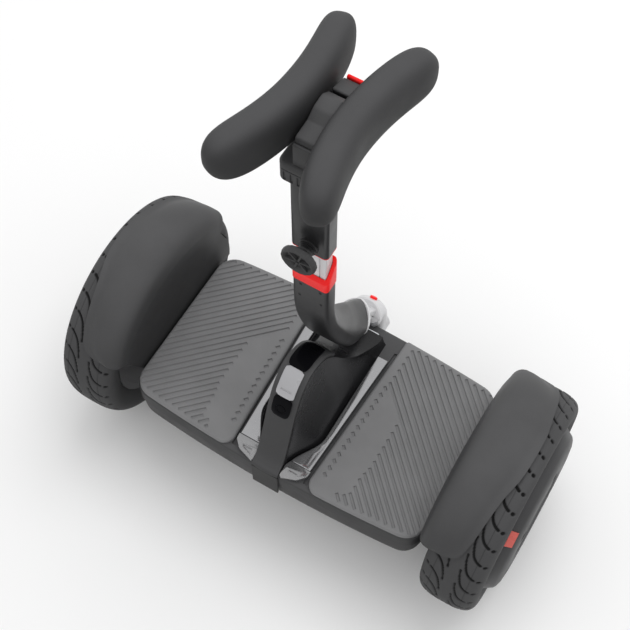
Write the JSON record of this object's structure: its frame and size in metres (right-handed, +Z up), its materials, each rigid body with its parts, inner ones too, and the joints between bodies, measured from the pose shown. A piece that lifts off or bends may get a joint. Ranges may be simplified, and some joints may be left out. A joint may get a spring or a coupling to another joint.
{
  "type": "self-balancing scooter",
  "caption": "Self-balancing scooter: motor wheels under arched fenders, a low deck with foot mats, a console between them, and a knee-steered bar with foam pads.",
  "frame": {"origin": "on the floor, midway between the wheels and right below the axle line", "axes": "+X along the axle to the rider's right, +Y forwards, +Z up"},
  "size_m": [0.558, 0.266, 0.6933],
  "materials": {
    "satin_black": "satin moulded shell",
    "gloss_black": "gloss black",
    "console_black": "semi-gloss black",
    "trim_grey": "bright grey strip",
    "mat_rubber": "grooved mid-grey rubber",
    "tyre_rubber": "black rubber with curved grooves",
    "foot_rubber": "black rubber",
    "pad_foam": "soft dark grey skin over foam",
    "signal_red": "bright red",
    "reflector_red": "salmon-red reflector",
    "tail_lens": "smoked grey lens",
    "head_lens": "clear lens",
    "satin_silver": "satin silver",
    "key_silver": "silver-grey key plate",
    "black_alloy": "black coated",
    "zinc_steel": "zinc plated",
    "cast_magnesium": "as cast, stands in for cast magnesium alloy",
    "drum_alloy": "dark grey coated",
    "hub_cover_grey": "dark grey",
    "stator_core": "laminated core with copper windings",
    "battery_wrap": "shrink-wrapped cell pack",
    "board_green": "circuit board with its heat sink"
  },
  "bodies": {
    "base": {"lower_shell": "satin_black", "upper_shell": "satin_black", "chassis_beam": "cast_magnesium", "battery_pack": "battery_wrap", "control_board": "board_green", "charge_socket": "satin_black", "console_shell": "console_black", "console_spine": "satin_black", "button_plate": "gloss_black", "key_panel": "key_silver", "display_window": "gloss_black", "headlight": "head_lens", "rear_shaft_bearing": "zinc_steel", "front_shaft_bearing": "zinc_steel", "centring_spring": "zinc_steel", "stand_bracket": "zinc_steel", "left_axle": "zinc_steel", "right_axle": "zinc_steel", "left_stator": "stator_core", "right_stator": "stator_core", "left_foot_mat": "mat_rubber", "right_foot_mat": "mat_rubber", "left_console_trim": "trim_grey", "right_console_trim": "trim_grey", "left_fender": "satin_black", "right_fender": "satin_black", "left_tail_light": "tail_lens", "right_tail_light": "tail_lens"},
    "left_wheel": {"left_tyre": "tyre_rubber", "left_motor_drum": "drum_alloy", "left_motor_plate": "drum_alloy", "left_hub_bearing": "zinc_steel", "left_hub_cover": "hub_cover_grey", "left_reflector": "reflector_red"},
    "right_wheel": {"right_tyre": "tyre_rubber", "right_motor_drum": "drum_alloy", "right_motor_plate": "drum_alloy", "right_hub_bearing": "zinc_steel", "right_hub_cover": "hub_cover_grey", "right_reflector": "reflector_red"},
    "steering": {"steering_shaft": "zinc_steel", "steering_arm": "satin_silver", "neck_casing": "black_alloy", "clamp_collar": "signal_red", "inner_tube": "satin_silver"},
    "arm_latch": {"release_button": "signal_red"},
    "knee_bar": {"upper_tube": "black_alloy", "upper_tube_rim": "signal_red", "head_shoulder": "satin_black", "head_core": "satin_black", "grip_bridge": "satin_black", "top_plate": "satin_black", "left_knee_pad": "pad_foam", "right_knee_pad": "pad_foam"},
    "knob": {"clamp_knob": "satin_black"},
    "pad_latch": {"pad_release_tab": "signal_red"},
    "power_key": {"power_button": "gloss_black"},
    "port_cover": {"charge_port_cover": "foot_rubber"},
    "stand": {"stand_leg": "zinc_steel", "stand_foot": "foot_rubber"}
  },
  "joints": [
    {"name": "left_wheel_spin", "type": "hinge", "parent": "base", "child": "left_wheel", "pos_m": [-0.233, 0, 0.133], "axis": [1, 0, 0], "continuous": true},
    {"name": "right_wheel_spin", "type": "hinge", "parent": "base", "child": "right_wheel", "pos_m": [0.233, 0, 0.133], "axis": [1, 0, 0], "continuous": true},
    {"name": "steering_lean", "type": "hinge", "parent": "base", "child": "steering", "pos_m": [0, 0, 0.118], "axis": [0, 1, 0], "range_deg": [-16, 16], "stiffness_Nm_per_rad": 40},
    {"name": "bar_height", "type": "slide", "parent": "steering", "child": "knee_bar", "axis": [0, 0, 1], "range_m": [-0.02, 0.065]},
    {"name": "clamp_knob_turn", "type": "hinge", "parent": "knee_bar", "child": "knob", "pos_m": [0, -0.018, 0.4895], "axis": [0, 1, 0], "range_deg": [0, 360]},
    {"name": "arm_release_push", "type": "slide", "parent": "steering", "child": "arm_latch", "axis": [0, -0.809, -0.5878], "range_m": [0, 0.002], "stiffness_N_per_m": 800},
    {"name": "pad_release_press", "type": "slide", "parent": "knee_bar", "child": "pad_latch", "axis": [0, 0, -1], "range_m": [0, 0.004], "stiffness_N_per_m": 600},
    {"name": "power_button_press", "type": "slide", "parent": "base", "child": "power_key", "axis": [0, 0.9278, -0.3732], "range_m": [0, 0.001], "stiffness_N_per_m": 1000},
    {"name": "charge_cover_lift", "type": "hinge", "parent": "base", "child": "port_cover", "pos_m": [0, -0.1153, 0.1478], "axis": [-1, 0, 0], "range_deg": [0, 90]},
    {"name": "stand_fold", "type": "hinge", "parent": "base", "child": "stand", "pos_m": [0, 0.071, 0.0655], "axis": [-1, 0, 0], "range_deg": [0, 100]}
  ]
}
